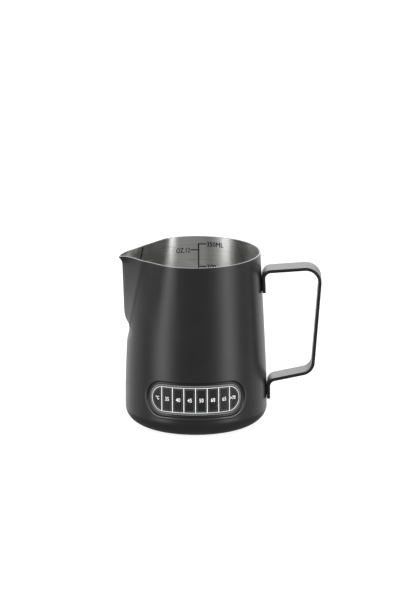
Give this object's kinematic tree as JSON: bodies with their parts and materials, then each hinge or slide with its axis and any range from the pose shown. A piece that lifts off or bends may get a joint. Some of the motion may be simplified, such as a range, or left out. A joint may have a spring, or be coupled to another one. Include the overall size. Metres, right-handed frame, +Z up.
{
  "type": "milk frothing pitcher",
  "caption": "Coated steel milk frothing pitcher with a pressed V spout, a bent strap handle and a liquid-crystal temperature strip in a recess near the foot.",
  "frame": {"origin": "centre of the flat foot, on the cup's own axis", "axes": "+Z up along the cup's axis, spout towards -X, handle towards +X, thermometer strip facing -Y"},
  "size_m": [0.1101, 0.077, 0.095],
  "materials": {
    "coated_steel": "satin charcoal coating outside, brushed bare steel inside",
    "bare_steel": "brushed",
    "adhesive": "matte",
    "strip_carrier": "satin grey film",
    "strip_print": "white screen print",
    "strip_cells": "liquid crystal film, dark when cold",
    "strip_cover": "clear gloss film"
  },
  "bodies": {
    "root": {"body_shell": "coated_steel", "spout": "coated_steel", "spout_weld_seam": "coated_steel", "handle_strap": "coated_steel", "handle_spot_welds": "bare_steel", "strip_adhesive_pad": "adhesive", "strip_carrier_film": "strip_carrier", "strip_printed_grid": "strip_print", "strip_cell_unit": "strip_cells", "strip_cell_35": "strip_cells", "strip_cell_40": "strip_cells", "strip_cell_45": "strip_cells", "strip_cell_50": "strip_cells", "strip_cell_60": "strip_cells", "strip_cell_65": "strip_cells", "strip_cell_over_70": "strip_cells", "strip_clear_cover": "strip_cover"}
  },
  "joints": []
}
